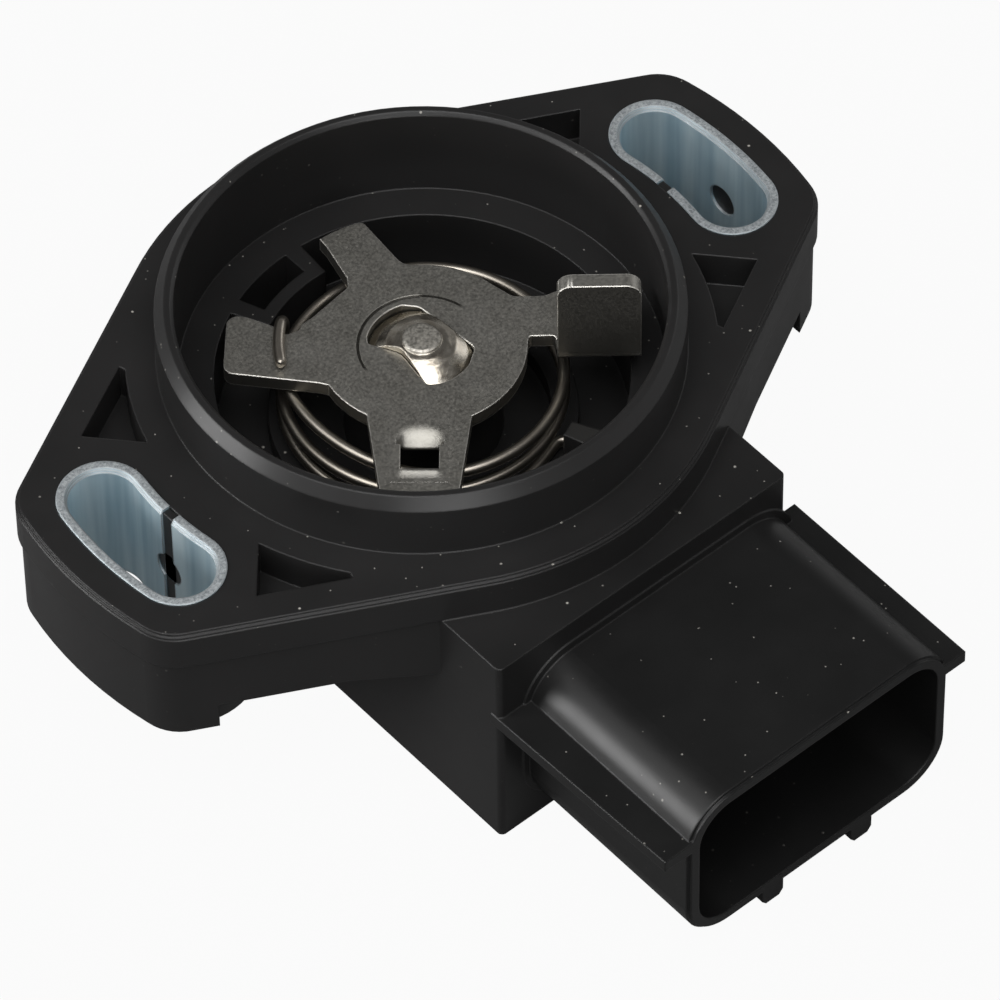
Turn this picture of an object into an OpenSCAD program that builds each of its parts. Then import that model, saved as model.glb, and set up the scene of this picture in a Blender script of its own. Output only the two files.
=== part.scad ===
// Throttle position sensor: a moulded housing with two slotted ears, a sprung lever on a rotor
// shaft, and a side connector. The rotor axis is Z and the mounting face is the plane z = 0.

/* [Mounting flange] */
// Radius of the round part of the flange
disc_r = 24.55; // [23.5:0.05:27]
// Thickness of the flange plate
flange_t = 3.8; // [3:0.2:5]
// Distance from the middle line of a slot to the end of its ear
ear_end = 6.5; // [5.6:0.1:8]
// Corner radius of the ears
ear_corner_r = 4.2; // [3:0.2:5]
// Direction square to the straight flanks between the disc and the ears
flank_angle = 61.8; // [60:0.1:64]
// Depth of the ears below the mounting face
ear_depth = 12.2; // [10.6:0.2:14]
// Depth of the web between the ears and the rear box
web_depth = 9.6; // [8:0.2:10.4]
// Step in from the flange plate to the body under it
under_step = 0.3; // [0.1:0.1:0.6]
// Chamfer round the top edge of the flange
flange_chamfer = 0.5; // [0.2:0.1:0.8]

/* [Slots and bushes] */
// Radius of the arc on which both slots lie
slot_pitch_r = 29.2; // [28.8:0.1:30]
// Half of the angle between the end centres of a slot
slot_half_angle = 9.2; // [7:0.1:10]
// Half width of the slot inside the steel bush
slot_r = 2.85; // [2.6:0.05:3]
// Wall of the steel bush
bush_wall = 0.9; // [0.6:0.1:1]
// Gap in the rolled seam of the bush
bush_seam = 1.25; // [0.8:0.05:1.5]
// Sideways place of the seam and of the lock hole opposite it
bush_seam_y = 0; // [-1:0.1:1]
// Depth of the centre of the round lock holes, one through the seam and one opposite it
bush_lock_depth = 6.5; // [5:0.1:9]
// Radius of the lock holes
bush_lock_r = 1.43; // [1:0.01:1.6]

/* [Locating ring] */
// Outer radius of the ring that locates in the throttle body
ring_r = 21.1; // [20.6:0.1:22]
// Wall of the ring
ring_wall = 1.6; // [1.4:0.1:2.4]
// Height of the ring above the mounting face
ring_h = 6; // [4:0.2:7]
// Radial size of the lead-in chamfer
ring_chamfer = 0.8; // [0.3:0.1:1]
// Height of the lead-in chamfer
ring_chamfer_h = 1; // [0.4:0.1:1.5]

/* [Spring well] */
// Depth of the ledge inside the ring
ledge_depth = 3; // [2.5:0.1:4]
// Radius of the spring well inside the ledge
well_r = 16.6; // [16:0.1:17]
// Depth of the floor of the spring well
well_depth = 9.2; // [8.8:0.1:10]
// Outer radius of the bearing tube
tube_r = 6.4; // [5.8:0.1:7.5]
// Outer radius of the curved pocket wall
pocket_wall_r = 14.3; // [13.8:0.1:14.6]
// Thickness of the curved pocket wall
pocket_wall_t = 1.1; // [0.8:0.1:1.3]

/* [Rear box] */
// Half width of the rear box
box_half_w = 15; // [14.2:0.1:16]
// Distance from the rotor axis to the front face of the box
box_front = 26.6; // [25.8:0.1:28]
// Distance from the rotor axis to the back face of the box
box_back = 14.4; // [14:0.2:16]
// Depth of the partition's underside, where the rear chamber starts
chamber_top = 11.8; // [11.4:0.1:12.4]
// Height of the rear chamber over the resistor board
chamber_h = 8; // [7:0.1:10]
// Thickness of the back cover
cover_t = 2; // [1.4:0.1:2.2]
// Wall round the back cover
cover_wall = 1.3; // [1:0.1:1.6]
// Radius of the box's upright edges
box_edge_r = 0.5; // [0.3:0.1:1.2]
// Clearance round the back cover and in other slip fits
fit_gap = 0.1; // [0.05:0.01:0.15]

/* [Connector] */
// Sideways offset of the connector from the rotor axis
conn_x = 1.5; // [0:0.1:1.8]
// Half width of the connector shroud
conn_half_w = 13.6; // [13:0.1:14]
// Depth of the top of the shroud below the mounting face
conn_top = 6.8; // [6.4:0.1:8]
// Height of the shroud
conn_h = 16.1; // [15:0.1:16.6]
// Corner radius of the shroud
conn_corner_r = 4.3; // [3:0.1:5]
// Wall of the shroud
conn_wall = 1.1; // [0.9:0.1:1.4]
// Distance from the rotor axis to the mouth of the shroud
conn_mouth = 45.6; // [42:0.1:50]
// Distance from the rotor axis to the bottom of the socket
conn_floor = 28.6; // [28:0.1:30]
// How far the left side rail stands out of the shroud
rail_left_w = 2.5; // [1.5:0.1:3]
// How far the right side rail stands out of the shroud
rail_right_w = 1.8; // [1.5:0.1:3]
// Thickness of a side rail
rail_t = 1.2; // [0.8:0.1:1.6]
// Depth of the top of the rails below the mounting face
rail_top = 9.8; // [9.2:0.1:11]

/* [Lever] */
// Thickness of the lever sheet
lever_t = 1.3; // [1:0.1:1.5]
// Height of the top of the lever above the mounting face
lever_top = 0.3; // [0:0.1:1]
// Radius of the round middle of the lever
hub_r = 8.4; // [7.6:0.1:8.8]
// Angle of the drive arm
drive_angle = -40.2; // [-45:0.1:-35]
// Clearance between the outer end of the drive tab and the ring
tab_gap = 2.1; // [1.5:0.1:3]
// Width of the drive tab along its arm
tab_w = 6.65; // [6:0.05:7]
// Clearance between the end of the lower arm and the ring
arm_gap = 2.5; // [2:0.1:4]
// Height of the top of the drive tab above the mounting face
tab_top = 8.5; // [6:0.1:9]
// Inside bend radius of the drive tab
bend_r = 0.4; // [0.3:0.05:0.8]

/* [Return spring] */
// Radius of the coils at the middle of the wire
coil_r = 11.35; // [10.9:0.05:11.7]
// Diameter of the spring wire
wire_d = 1.1; // [0.7:0.05:1.1]
// Number of whole turns
coil_turns = 3; // [2:1:3]
// Rise of the wire in one turn
coil_pitch = 2.05; // [1.4:0.05:2.2]

/* [Rotor] */
// Radius of the rotor shaft
shaft_r = 3; // [2.5:0.1:3.4]
// Running clearance of the shaft in its bearing
run_gap = 0.04; // [0.02:0.01:0.08]
// Wall of the bearing
bearing_wall = 1.4; // [1:0.1:1.8]
// Largest turn of the lever away from its rest stop
lever_travel = 95; // [60:1:100]

/* [Hidden] */
$fn = 72;
cut = 0.1;
black_plastic = "#2b2b2d";
plated_steel = "#b9c2c6";
grey_steel = "#9a9a97";
bright_steel = "#d2d0cc";
bronze = "#a8804e";
brown_rubber = "#3a2f2a";
white_plastic = "#e6e2d6";
copper_alloy = "#c08a52";
board_green = "#35603f";
carbon_black = "#1e1e20";
silver_ink = "#b4b4b0";

bush_r = slot_r + bush_wall;
cup_r = ring_r - ring_wall;
ear_reach = slot_pitch_r + ear_end;
boss_r = 5.9;
lever_bottom = lever_top - lever_t;
tab_r2 = cup_r - tab_gap;
tab_r1 = tab_r2 - tab_w;
arm_r = cup_r - arm_gap;
tube_top = -ledge_depth;
washer_t = 0.8;
shoulder_t = 1;
seal_h = 2;
lug_half = 9;
lug_angle = 90;
stop_play = 0.4;
stop_rest_angle = lug_angle + lug_half + stop_play;
stop_far_angle = lug_angle - lug_half - lever_travel - stop_play;
spring_high = lever_bottom - wire_d / 2 - 0.06;
flat_x = 2.3;
clip_t = 0.6;
clip_z = -chamber_top - 0.75;
carrier_top = clip_z - clip_t - 0.65;
carrier_bottom = carrier_top - 2.6;
shaft_end = carrier_bottom + 0.2;
track_t = 0.05;
track_mid_r = 7.85;
track_w = 2.6;
strip_t = 0.15;
strip_w = 1.8;
bearing_r = shaft_r + run_gap + bearing_wall;
rib_angle = -63;
gasket_h = 2.2;
board_t = 0.8;
board_top = -chamber_top - chamber_h;
cover_top = board_top - board_t - gasket_h;
box_bottom = cover_top - cover_t;
board_half_w = 11.6;
board_front = 13.6;
board_back = 11.6;
chamber_half_w = board_half_w - 0.7;
chamber_front = board_front - 0.7;
chamber_back = board_back - 0.7;
pin_z = -conn_top - conn_h / 2;
pin_w = 1.5;
pin_t = 0.7;
pin_pitch = 5;
pin_tip = conn_mouth - 4.6;
pin_tail = 14.8;
duct_half_w = 8.4;
duct_front = 22.4;

// Centre of the corner between a flank and the ear's end, which is an arc about the rotor axis.
function polar(r, a) = [r * cos(a), r * sin(a)];
corner_angle = flank_angle - acos((disc_r - ear_corner_r) / (ear_reach - ear_corner_r));
corner_c = polar(ear_reach - ear_corner_r, corner_angle);

module in_four() {
    for (mx = [0, 1]) {
        for (my = [0, 1]) {
            mirror([mx, 0, 0]) mirror([0, my, 0]) children();
        }
    }
}

// Outline of the flange, drawn smaller by step on every side. Its straight sides run a hair
// inside the arcs that they join.
module flange_outline(step = 0) {
    r = ear_corner_r - step;
    big = disc_r - step;
    hair = 0.005;
    circle(r = big, $fn = 144);
    in_four() translate(corner_c) circle(r = r);
    in_four() polygon([[0, 0], polar(big - hair, flank_angle), corner_c + polar(r - hair, flank_angle),
        corner_c, [corner_c[0], 0]]);
    for (s = [0, 180]) {
        rotate(s) intersection() {
            circle(r = ear_reach - step - hair, $fn = 180);
            polygon([[0, 0], polar(60, -corner_angle), polar(60, corner_angle)]);
        }
    }
}

module rounded_rect(w, h, r) {
    square([w - 2 * r, h], center = true);
    square([w, h - 2 * r], center = true);
    for (x = [-1, 1]) {
        for (y = [-1, 1]) {
            translate([x * (w / 2 - r), y * (h / 2 - r)]) circle(r = r);
        }
    }
}

// A slot that follows the arc about the rotor axis, on the +X side.
module arc_slot(r) {
    intersection() {
        difference() {
            circle(r = slot_pitch_r + r, $fn = 180);
            circle(r = slot_pitch_r - r, $fn = 180);
        }
        polygon([[0, 0], polar(60, -slot_half_angle), polar(60, slot_half_angle)]);
    }
    for (s = [-1, 1]) {
        translate(polar(slot_pitch_r, s * slot_half_angle)) circle(r = r);
    }
}

module sector(r1, r2, a1, a2) {
    intersection() {
        difference() {
            circle(r = r2, $fn = 120);
            circle(r = r1, $fn = 120);
        }
        polygon([[0, 0], polar(60, a1), polar(60, (a1 + a2) / 2), polar(60, a2)]);
    }
}

module sector_ring(r1, r2) {
    difference() {
        circle(r = r2, $fn = 120);
        circle(r = r1, $fn = 120);
    }
}

module slab(z1, z2) {
    translate([0, 0, z1]) linear_extrude(height = z2 - z1) children();
}

// Stretch of the connector shroud's section, from y = -y1 to y = -y2.
module conn_slab(y1, y2) {
    translate([conn_x, -y1, pin_z]) rotate([90, 0, 0]) linear_extrude(height = y2 - y1) children();
}

// One weight-saving pocket beside a slot, between the flank, the slot and the ring.
module flank_pocket() {
    intersection() {
        difference() {
            polygon([[22.2, 6.4], [26.1, 10.75], [19.3, 14.3], [18, 10]]);
            circle(r = ring_r + 2.5, $fn = 144);
        }
        rotate(flank_angle) translate([-20, -40]) square([20 + disc_r - 1.6, 80]);
    }
}

module flange_body() {
    slab(-flange_t, -flange_chamfer) flange_outline();
    slab(-flange_chamfer, -flange_chamfer / 2) flange_outline(flange_chamfer * 0.2);
    slab(-flange_chamfer / 2, 0) flange_outline(flange_chamfer * 0.6);
    slab(-web_depth, -flange_t) flange_outline(under_step);
    for (s = [0, 180]) {
        rotate(s) slab(-ear_depth, -web_depth) ear_boss_outline();
    }
}

// Under each ear the plastic goes deeper: round the slot, and out to the ear's end.
module ear_boss_outline() {
    intersection() {
        flange_outline(under_step);
        union() {
            arc_slot(boss_r);
            translate([slot_pitch_r + 1.4, -20]) square([20, 40]);
        }
    }
}

module locating_ring() {
    rotate_extrude($fn = 180) polygon([[cup_r - 0.6, -ledge_depth], [ring_r, -ledge_depth],
        [ring_r, ring_h - ring_chamfer_h], [ring_r - ring_chamfer, ring_h],
        [cup_r + 0.3, ring_h], [cup_r, ring_h - 0.3]]);
}

// Outline of the rear box, drawn smaller by inset on every side.
module box_outline(inset = 0, r = box_edge_r) {
    h = box_front + box_back - 2 * inset;
    translate([0, (box_back - box_front) / 2]) rounded_rect(2 * (box_half_w - inset), h, r);
}

// Shoulders that lead the web down to the sides of the box.
module web_shoulder() {
    intersection() {
        slab(-web_depth - 1.6, -web_depth + 0.5) flange_outline(under_step);
        rotate([90, 0, 0]) linear_extrude(height = 60, center = true)
            polygon([[-22.5, -web_depth + 0.2], [22.5, -web_depth + 0.2], [14, -web_depth - 1.4],
                [-14, -web_depth - 1.4]]);
    }
}

module rear_box() {
    slab(box_bottom, -flange_t) box_outline();
}

module connector_body() {
    w = 2 * conn_half_w;
    conn_slab(box_front - 1, conn_mouth - 0.3) rounded_rect(w, conn_h, conn_corner_r);
    conn_slab(box_front - 1, conn_mouth) rounded_rect(w - 0.5, conn_h - 0.5, conn_corner_r - 0.25);
    conn_slab(box_front - 1, box_front + 0.15) translate([0, 0.2])
        rounded_rect(w + 1.2, conn_h + 1.2, conn_corner_r + 0.6);
    rail_x = conn_x - conn_half_w - rail_left_w;
    slab(-rail_top - rail_t, -rail_top) polygon([[rail_x, -conn_mouth], [conn_x, -conn_mouth],
        [conn_x, 1 - box_front], [rail_x - 0.5, 1 - box_front]]);
    slab(-rail_top - rail_t, -rail_top) translate([conn_x, -conn_mouth])
        square([conn_half_w + rail_right_w, conn_mouth - box_front + 1]);
    for (s = [-1, 1]) {
        translate([conn_x + s * 4.7, -conn_mouth, pin_z - conn_h / 2 - 1.5]) key_rib();
    }
}

// Keying rib under the shroud, with bevelled lower edges.
module key_rib() {
    translate([0, conn_mouth - box_front - 4, 0]) rotate([90, 0, 0])
        linear_extrude(height = conn_mouth - box_front - 4)
        polygon([[-0.7, 0], [0.7, 0], [1.1, 0.5], [1.1, 2], [-1.1, 2], [-1.1, 0.5]]);
}

// The well keeps its ledge, and inside it stand the bearing tube and the pocket for the fixed end.
module spring_well() {
    difference() {
        slab(-well_depth, -ledge_depth + cut) circle(r = well_r, $fn = 144);
        slab(-well_depth - cut, tube_top) circle(r = tube_r);
        slab(-well_depth - cut, -ledge_depth) {
            sector(pocket_wall_r - pocket_wall_t, pocket_wall_r, 85.5, 117);
            sector(pocket_wall_r - pocket_wall_t, well_r + 1, 85.5, 91);
            sector(pocket_wall_r - pocket_wall_t, well_r + 1, 111.5, 117);
        }
        slab(-well_depth - cut, -ledge_depth - 0.5) sector(12.8, well_r + 1, rib_angle - 7, rib_angle);
        slab(-well_depth - cut, spring_low - wire_d / 2 - 0.05)
            sector_ring(coil_r - wire_d, coil_r + wire_d);
    }
}

module rear_chamber() {
    translate([-chamber_half_w, -chamber_front, board_top])
        cube([2 * chamber_half_w, chamber_front + chamber_back, -chamber_top - board_top]);
    translate([-board_half_w - fit_gap, -board_front - fit_gap, cover_top - cut])
        cube([2 * (board_half_w + fit_gap), board_front + board_back + 2 * fit_gap,
            board_top - cover_top + cut]);
    translate([conn_x - duct_half_w, -duct_front, cover_top - cut])
        cube([2 * duct_half_w, duct_front - chamber_front + 1, pin_z + 2 - cover_top]);
    slab(box_bottom - cut, cover_top) box_outline(cover_wall);
}

// Blocks in the chamber that the carrier's lug meets at each end of its turn.
module travel_stops() {
    slab(carrier_bottom - 0.4, -chamber_top + cut) {
        sector(9.3, 16, stop_rest_angle, stop_rest_angle + 12);
        sector(9.3, 16, stop_far_angle - 12, stop_far_angle);
    }
}

module terminal_slots(gap = 0) {
    for (i = [-1:1]) {
        translate([conn_x + i * pin_pitch - pin_w / 2 - gap, -conn_floor - 1, pin_z - pin_t / 2 - gap])
            cube([pin_w + 2 * gap, conn_floor - duct_front + 2, pin_t + 2 * gap]);
    }
}

module housing() {
    color(black_plastic) {
        difference() {
            union() {
                flange_body();
                locating_ring();
                web_shoulder();
                rear_box();
                connector_body();
            }
            for (s = [0, 180]) {
                rotate(s) slab(-ear_depth - cut, cut) arc_slot(bush_r);
            }
            in_four() slab(-flange_t + 0.4, cut) flank_pocket();
            slab(-ledge_depth, ring_h + cut) circle(r = cup_r, $fn = 180);
            spring_well();
            slab(-chamber_top - cut, tube_top + cut) circle(r = bearing_r);
            difference() {
                rear_chamber();
                travel_stops();
            }
            conn_slab(conn_floor, conn_mouth + cut)
                rounded_rect(2 * (conn_half_w - conn_wall), conn_h - 2 * conn_wall, conn_corner_r - conn_wall);
            terminal_slots();
        }
    }
}

// Rolled steel bush: an oval tube whose seam faces the rotor, cross-drilled through the seam and
// the wall opposite it so that the plastic locks it.
module ear_bush() {
    color(plated_steel) difference() {
        slab(-ear_depth, 0.1) arc_slot(bush_r);
        slab(-ear_depth - cut, cut + 0.1) arc_slot(slot_r);
        slab(-0.1, cut + 0.1) arc_slot(slot_r + 0.2);
        slab(-0.3, cut) arc_slot(slot_r + 0.1);
        translate([slot_pitch_r - bush_r - cut, bush_seam_y - bush_seam / 2, -ear_depth - cut])
            cube([bush_wall + 0.5, bush_seam, ear_depth + 1]);
        translate([slot_pitch_r - bush_r - 1, bush_seam_y, -bush_lock_depth]) rotate([0, 90, 0])
            cylinder(r = bush_lock_r, h = 2 * bush_r + 2);
    }
}

module bush_right() {
    ear_bush();
}

module bush_left() {
    mirror([1, 0, 0]) ear_bush();
}

// Points of an arc about the rotor axis, and a point given along and across the drive arm.
function arc(r, a1, a2, n = 8) = [for (i = [0:n]) polar(r, a1 + (a2 - a1) * i / n)];
function drive(x, y) = polar(x, drive_angle) + polar(y, drive_angle + 90);

// Corner of an outline rounded to radius r: a short arc that meets both of its sides.
function corner(a, b, c, r, n = 5) = let (u = (a - b) / norm(a - b), v = (c - b) / norm(c - b),
    half = acos(u * v) / 2, m = (u + v) / norm(u + v), o = b + m * r / sin(half),
    p = b + u * r / tan(half) - o, q = b + v * r / tan(half) - o)
    [for (i = [0:n]) let (w = p * (n - i) + q * i) o + r * w / norm(w)];
function rounded(points) = [for (i = [0:len(points) - 1]) let (k = len(points), b = points[i],
    a = points[(i + k - 1) % k], c = points[(i + 1) % k])
    each b[2] > 0 ? corner([a[0], a[1]], [b[0], b[1]], [c[0], c[1]], b[2]) : [[b[0], b[1]]]];
function sharp(points) = [for (p = points) [p[0], p[1], 0]];
function soft(p, r) = [p[0], p[1], r];

// Outline of the lever sheet with its arms in turn: drive arm, top arm, hook arm, lower arm.
far_edge = 5.8;
lever_points = concat(
    sharp(arc(hub_r, 257.5, 360 + drive_angle, 12)),
    [soft(drive(hub_r + 0.1, 0.75), 0.3), soft(drive(tab_r1 - 0.1, 0.75), 0.3),
        soft(drive(tab_r1 - 0.1, 0.4), 0), soft(drive(tab_r2, 0.4), 0),
        soft(drive(tab_r2, far_edge), 1.2), soft(drive(11.6, far_edge), 1.5),
        soft(drive(9.8, 4.9), 1.5), soft(drive(7.3, 4.9), 1)],
    sharp(arc(hub_r, 6.5, 48)),
    [soft([4.3, 7.3], 1.5), soft([4.85, 12.9], 0.5)],
    sharp(arc(13.9, 72, 85.5, 3)),
    [soft([1, 12.9], 0.5), soft([0.1, 9.3], 0), soft([-0.5, 8.45], 0.5), soft([-4.8, 7.9], 0.8),
        soft([-5.8, 7.9], 0.3), soft([-6.3, 7.55], 0.4), soft([-7.5, 7.95], 0.3), soft([-7.35, 8.65], 0.3),
        soft([-8.6, 11.4], 0.8), soft([-9.6, 12.6], 0.9), soft([-13.7, 8.2], 0.9), soft([-8.7, 2.4], 1.5)],
    sharp(arc(hub_r, 168.5, 198.5, 5)),
    [soft([-8.6, -3.6], 1.2), soft(polar(arm_r + 1.6, 220.6), 1)],
    sharp(arc(arm_r, 222.6, 236.2, 4)),
    [soft(polar(arm_r + 1.1, 237.6), 1), soft([-2.6, -8.9], 1)]);

// Waisted hole that takes the head of the shaft: two lobes and a bent waist between them.
key_r = 4.45;
key_points = concat(
    sharp(arc(key_r, 70, 128, 8)),
    [soft([-3.15, 2.9], 0.3), soft([-1.85, 0.4], 1.5), soft([-2.42, -3.45], 0.6)],
    sharp(arc(key_r - 0.15, 248, 290, 6)),
    [soft([3.02, -3], 0.8), soft([2.42, 3.15], 0.9)]);
module key_outline(k = 1) {
    polygon(k * [for (p = rounded(key_points)) p]);
}

// Lanced louvre on the lower arm: a low dome open towards the arm's end, over a hole.
louvre_angle = 228.6;
louvre_x = arm_r - 5.9;
louvre_h = 0.65;
louvre_sphere_r = 3.56;
louvre_wall = 0.45;
module louvre_ball(r) {
    translate([louvre_x, 0, lever_top + louvre_h - louvre_sphere_r]) sphere(r = r);
}

module arm_louvre() {
    rotate(louvre_angle) difference() {
        intersection() {
            louvre_ball(louvre_sphere_r);
            translate([louvre_x - 4, -4, lever_top - 0.1]) cube([4, 8, 2]);
        }
        louvre_ball(louvre_sphere_r - louvre_wall);
    }
}

module drive_tab() {
    outer = bend_r + lever_t;
    edge = lever_t;
    r = 1.2;
    rotate(drive_angle) {
        translate([tab_r1, -edge, lever_bottom + outer]) rotate([90, 0, 90])
            linear_extrude(height = tab_r2 - tab_r1) square([lever_t, tab_top - r - lever_bottom - outer]);
        translate([tab_r1 + r, -edge, tab_top - r]) cube([tab_r2 - tab_r1 - 2 * r, lever_t, r]);
        for (x = [tab_r1 + r, tab_r2 - r]) {
            translate([x, -edge + lever_t, tab_top - r]) rotate([90, 0, 0]) cylinder(r = r, h = lever_t);
        }
        translate([tab_r1, -edge + outer, lever_bottom + outer]) rotate([90, 0, 90])
            linear_extrude(height = tab_r2 - tab_r1) difference() {
                intersection() {
                    circle(r = outer);
                    translate([-outer, -outer]) square([outer, outer]);
                }
                circle(r = bend_r);
            }
        translate([tab_r1, -edge + outer, lever_bottom]) cube([tab_r2 - tab_r1, 1, lever_t]);
    }
}

module lever_plate() {
    color(grey_steel) {
        difference() {
            slab(lever_bottom, lever_top) polygon(rounded(lever_points));
            slab(lever_bottom - cut, lever_top + cut) key_outline();
            rotate(louvre_angle) {
                intersection() {
                    louvre_ball(louvre_sphere_r - louvre_wall);
                    translate([louvre_x - 2, -1.55, lever_bottom - cut]) cube([3, 3.1, 4]);
                }
                translate([louvre_x, -1.55, lever_bottom - cut]) cube([1.85, 3.1, lever_t + 2 * cut]);
                translate([louvre_x, -1.55, lever_top - 0.25]) cube([2.2, 3.1, 1]);
            }
            slab(lever_top - 0.12, lever_top + cut) sector(4.98, 5.2, 50, 166);
        }
        arm_louvre();
        drive_tab();
    }
}

// Steel shaft: a staked head that fills the lever's waisted hole, a shoulder under the lever, a
// groove for the retaining ring, and two flats for the carrier.
module rotor_shaft() {
    r = shaft_r;
    color(bright_steel) difference() {
        union() {
            slab(lever_bottom - shoulder_t, lever_bottom) circle(r = 5.6);
            intersection() {
                slab(lever_bottom - 0.5, lever_top + 2) key_outline(0.97);
                rotate_extrude() polygon([[0, lever_bottom - 0.5], [4.4, lever_bottom - 0.5],
                    [4.4, lever_top - 0.75], [3.6, lever_top - 0.15], [2.8, lever_top + 0.35],
                    [2.1, lever_top + 0.6], [1.6, lever_top + 0.7], [1.55, lever_top + 0.85],
                    [1.35, lever_top + 0.95], [0, lever_top + 1]]);
            }
            rotate_extrude() polygon([[0, shaft_end], [r, shaft_end], [r, clip_z - clip_t],
                [r - 0.7, clip_z - clip_t], [r - 0.7, clip_z], [r, clip_z], [r, lever_bottom - 0.5],
                [0, lever_bottom - 0.5]]);
        }
        for (s = [-1, 1]) {
            translate([s * (flat_x + 2), 0, shaft_end + 1.2]) cube([4, 8, 2.6], center = true);
        }
    }
}

module shaft_bearing() {
    color(bronze) difference() {
        slab(-chamber_top, tube_top - seal_h) circle(r = bearing_r);
        slab(-chamber_top - cut, tube_top) circle(r = shaft_r + run_gap);
    }
}

module shaft_seal() {
    color(brown_rubber) difference() {
        slab(tube_top - seal_h, tube_top) circle(r = bearing_r);
        slab(tube_top - seal_h - cut, tube_top + cut) circle(r = shaft_r + run_gap);
        slab(tube_top - 0.9, tube_top + cut) difference() {
            circle(r = bearing_r - 0.5);
            circle(r = shaft_r + 0.5);
        }
    }
}

// Low-friction washer between the shaft's shoulder and the end of the bearing tube.
module thrust_washer() {
    color(white_plastic) difference() {
        slab(tube_top + 0.02, tube_top + 0.02 + washer_t - 0.04) circle(r = tube_r - 0.4);
        slab(tube_top - cut, tube_top + washer_t + cut) circle(r = shaft_r + 0.05);
    }
}

// Thin spring-steel ring with three waves, between the partition and the retaining ring.
module wave_washer() {
    steps = 48;
    r1 = shaft_r + 0.3;
    r2 = shaft_r + 2.2;
    mid = -chamber_top - 0.38;
    function wave(i, r, dz) = [r * cos(i * 360 / steps), r * sin(i * 360 / steps),
        mid + dz + 0.16 * cos(3 * i * 360 / steps)];
    points = [for (i = [0:steps - 1]) for (c = [[r1, -0.15], [r2, -0.15], [r2, 0.15], [r1, 0.15]])
        wave(i, c[0], c[1])];
    faces = [for (i = [0:steps - 1]) for (k = [0:3])
        let (a = 4 * i, b = 4 * ((i + 1) % steps), m = (k + 1) % 4)
        [a + k, b + k, b + m, a + m]];
    color(bright_steel) polyhedron(points = points, faces = faces);
}

module retaining_ring() {
    color(grey_steel) difference() {
        slab(clip_z - clip_t + 0.03, clip_z - 0.03) circle(r = shaft_r + 2);
        slab(clip_z - clip_t - cut, clip_z + cut) {
            circle(r = shaft_r - 0.66);
            translate([0, -(shaft_r - 0.9)]) square([2 * (shaft_r + 3), 2 * (shaft_r - 0.9)]);
        }
    }
}

// Plastic carrier on the shaft's flats, with a lug that meets the travel stops.
module wiper_carrier() {
    lug_r = 10.3;
    color(white_plastic) difference() {
        union() {
            slab(carrier_bottom, carrier_top) circle(r = 5.2);
            slab(carrier_bottom, carrier_top - 0.8) sector(0, 8.8, 200, 340);
            slab(carrier_bottom, carrier_top - 0.8)
                sector(0, lug_r, lug_angle - lug_half, lug_angle + lug_half);
        }
        slab(shaft_end, carrier_top + cut) intersection() {
            circle(r = shaft_r);
            square([2 * flat_x, 10], center = true);
        }
    }
}

// Contact strip under the carrier: three prongs slope down to a curled toe on the track.
module contact_strip(r, foot_a, run) {
    toe_z = board_top + track_t + 0.03;
    rotate(foot_a) translate([r, 0, 0]) {
        for (k = [-1:1]) {
            translate([k * 0.6 + 0.25, 0, 0]) rotate([90, 0, -90]) linear_extrude(height = 0.45)
                polygon([[-2, carrier_bottom], [-2, carrier_bottom - strip_t],
                    [0, carrier_bottom - strip_t],
                    [run - 0.5, toe_z + 0.05], [run, toe_z], [run + 0.4, toe_z + 0.1], [run + 0.9, toe_z + 0.7],
                    [run + 0.75, toe_z + 0.75], [run + 0.3, toe_z + 0.28], [run, toe_z + strip_t],
                    [run - 0.4, toe_z + 0.2], [0.1, carrier_bottom]]);
        }
        translate([-0.9, -0.1, carrier_bottom - strip_t]) cube([strip_w, 2.1, strip_t]);
    }
}

module outer_wiper() {
    color(copper_alloy) contact_strip(7.6, 300, 6);
}

module inner_wiper() {
    color(copper_alloy) contact_strip(4.4, 320, 4.4);
}

module resistor_board() {
    color(board_green) translate([-board_half_w, -board_front, board_top - board_t])
        cube([2 * board_half_w, board_front + board_back, board_t]);
}

module resistor_track() {
    color(carbon_black) slab(board_top, board_top + track_t)
        sector(track_mid_r + 0.3, track_mid_r + 0.3 + track_w, 150, 390);
}

module collector_track() {
    color(silver_ink) slab(board_top, board_top + track_t)
        sector(track_mid_r - 0.3 - track_w, track_mid_r - 0.3, 150, 390);
}

// Tin-plated blade: a straight pin through the socket floor with a short tail in the duct.
module terminal(i) {
    color(bright_steel) {
        translate([conn_x + i * pin_pitch - pin_w / 2, -pin_tip + 0.8, pin_z - pin_t / 2])
            cube([pin_w, pin_tip - 0.8 - pin_tail, pin_t]);
        translate([conn_x + i * pin_pitch - pin_w / 2 + 0.25, -pin_tip, pin_z - pin_t / 2 + 0.15])
            cube([pin_w - 0.5, 1, pin_t - 0.3]);
    }
}

module terminal_left() {
    terminal(-1);
}

module terminal_middle() {
    terminal(0);
}

module terminal_right() {
    terminal(1);
}

// Springy strips that stand on the board's pads and press up against the terminals.
module contact_clips() {
    y = -pin_tail - 1.6;
    z1 = pin_z - pin_t / 2;
    color(copper_alloy) for (i = [-1:1]) {
        translate([conn_x + i * pin_pitch - 0.6, 0, 0]) rotate([90, 0, 90]) linear_extrude(height = 1.2)
            polygon([[y, z1], [y, z1 - 0.2], [y + 3.2, z1 - 0.9], [y + 3.2, board_top + 0.2],
                [y + 4.9, board_top], [y + 4.9, board_top + 0.2], [y + 3.4, board_top + 0.4],
                [y + 3.4, z1 - 0.75], [y + 0.6, z1]]);
    }
}

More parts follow.
